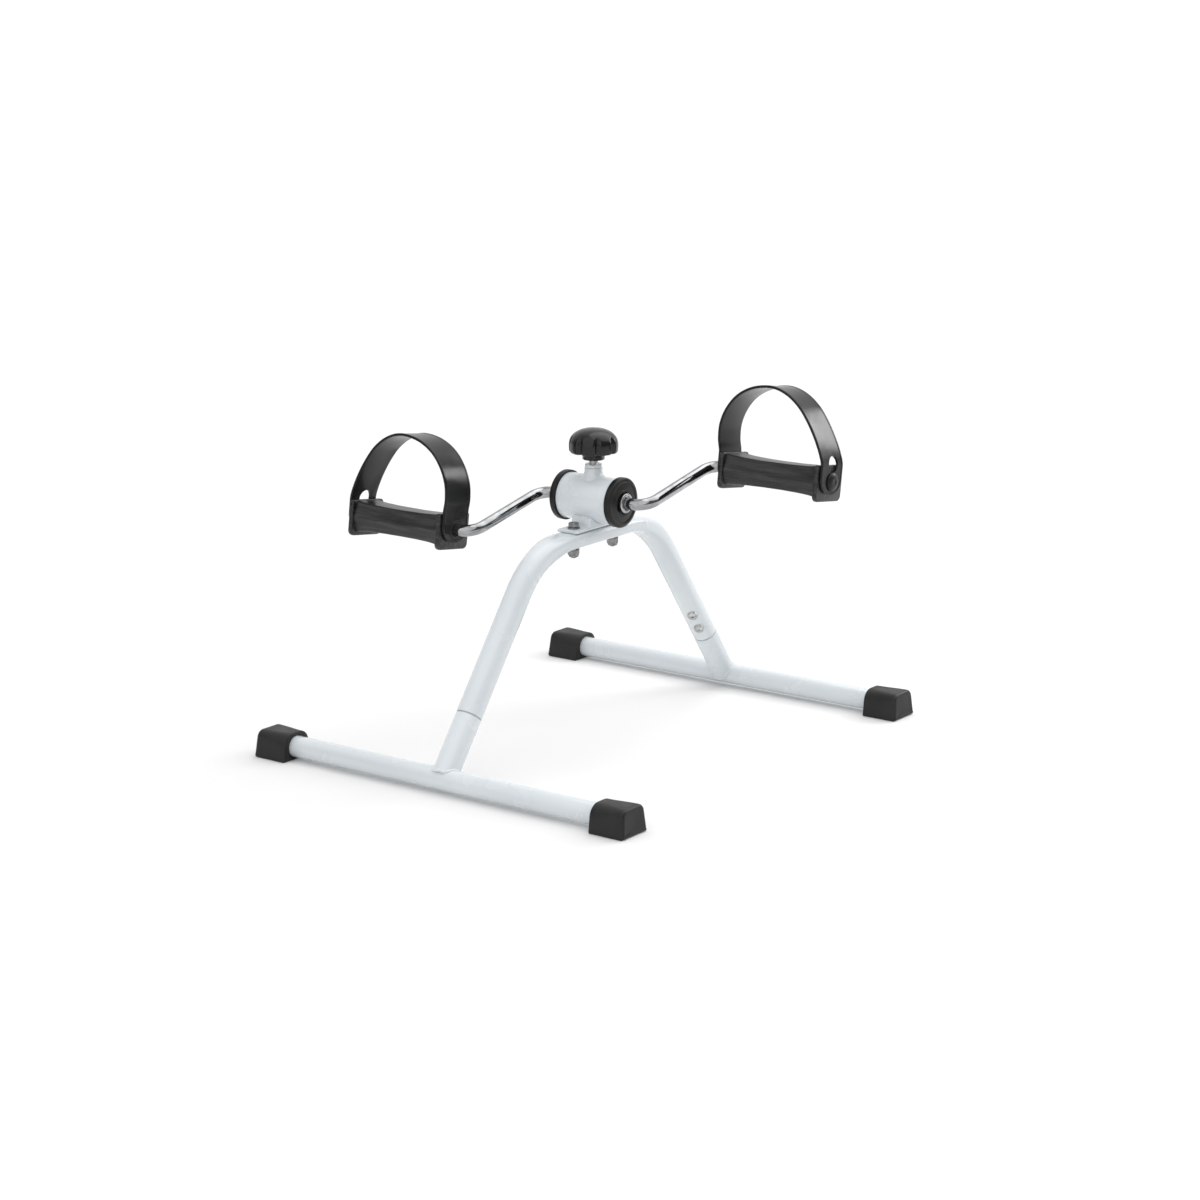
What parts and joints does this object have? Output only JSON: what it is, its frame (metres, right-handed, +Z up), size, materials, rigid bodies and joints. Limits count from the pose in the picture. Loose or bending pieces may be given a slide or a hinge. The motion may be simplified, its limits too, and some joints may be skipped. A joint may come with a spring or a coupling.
{
  "type": "pedal exerciser",
  "caption": "Floor-standing pedal exerciser: a bent tube frame on two floor tubes with rubber feet, a hub with a resistance knob, a cranked axle and strap pedals.",
  "frame": {"origin": "on the floor, midway between the two floor tubes, below the hub", "axes": "+X along the crank axle, +Y from the front floor tube to the rear one, +Z up"},
  "size_m": [0.46, 0.539, 0.3721],
  "materials": {
    "white_paint": "pale blue-grey white gloss powder coat",
    "black_rubber": "satin black rubber",
    "black_plastic": "satin black moulded plastic",
    "gloss_plastic": "glossy black moulded plastic",
    "white_nylon": "natural nylon",
    "chrome": "bright chrome plate",
    "zinc": "bright zinc plate",
    "steel": "plain turned steel",
    "felt": "brown friction felt"
  },
  "bodies": {
    "frame": {"front_floor_tube": "white_paint", "rear_floor_tube": "white_paint", "front_left_foot": "black_rubber", "front_right_foot": "black_rubber", "rear_left_foot": "black_rubber", "rear_right_foot": "black_rubber", "front_leg_stub": "white_paint", "rear_leg_stub": "white_paint", "arch_tube": "white_paint", "front_lower_leg_screw": "zinc", "front_upper_leg_screw": "zinc", "rear_lower_leg_screw": "zinc", "rear_upper_leg_screw": "zinc", "hub_barrel": "white_paint", "hub_left_cap": "black_plastic", "hub_right_cap": "black_plastic", "hub_saddle": "white_paint", "hub_front_bolt": "zinc", "hub_rear_bolt": "zinc", "hub_front_upper_washer": "zinc", "hub_rear_upper_washer": "zinc", "hub_front_lower_washer": "zinc", "hub_rear_lower_washer": "zinc", "hub_front_nut": "zinc", "hub_rear_nut": "zinc", "boss_sleeve": "white_paint", "boss_nut": "white_paint"},
    "brake": {"brake_shoe": "white_nylon", "brake_pad": "felt"},
    "knob": {"tension_screw": "steel", "tension_knob": "gloss_plastic"},
    "crank": {"crank_rod": "chrome", "friction_drum": "steel", "crank_left_collar": "chrome", "crank_right_collar": "chrome", "left_spindle_clip": "zinc", "right_spindle_clip": "zinc"},
    "left_pedal": {"left_pedal_block": "black_plastic", "left_pedal_inner_plate": "black_plastic", "left_pedal_outer_plate": "black_plastic", "left_pedal_strap": "black_rubber", "left_strap_button": "black_plastic", "left_pedal_bush": "black_plastic"},
    "right_pedal": {"right_pedal_block": "black_plastic", "right_pedal_inner_plate": "black_plastic", "right_pedal_outer_plate": "black_plastic", "right_pedal_strap": "black_rubber", "right_strap_button": "black_plastic", "right_pedal_bush": "black_plastic"}
  },
  "joints": [
    {"name": "crank_spin", "type": "hinge", "parent": "frame", "child": "crank", "pos_m": [0, 0, 0.252], "axis": [1, 0, 0], "continuous": true},
    {"name": "right_pedal_spin", "type": "hinge", "parent": "crank", "child": "right_pedal", "pos_m": [0.156, 0.1078, 0.27848], "axis": [1, 0, 0], "continuous": true},
    {"name": "left_pedal_spin", "type": "hinge", "parent": "crank", "child": "left_pedal", "pos_m": [-0.156, -0.1078, 0.22552], "axis": [1, 0, 0], "continuous": true},
    {"name": "brake_slide", "type": "slide", "parent": "frame", "child": "brake", "axis": [0, 0, 1], "range_m": [-0.003, 0.006]},
    {"name": "knob_turn", "type": "hinge", "parent": "brake", "child": "knob", "pos_m": [0, 0, 0.2973], "axis": [0, 0, 1], "range_deg": [-720, 1440]}
  ],
  "couplings": [
    {"joint": "brake_slide", "follows": "knob_turn", "m_per_rad": 0.00023873}
  ]
}
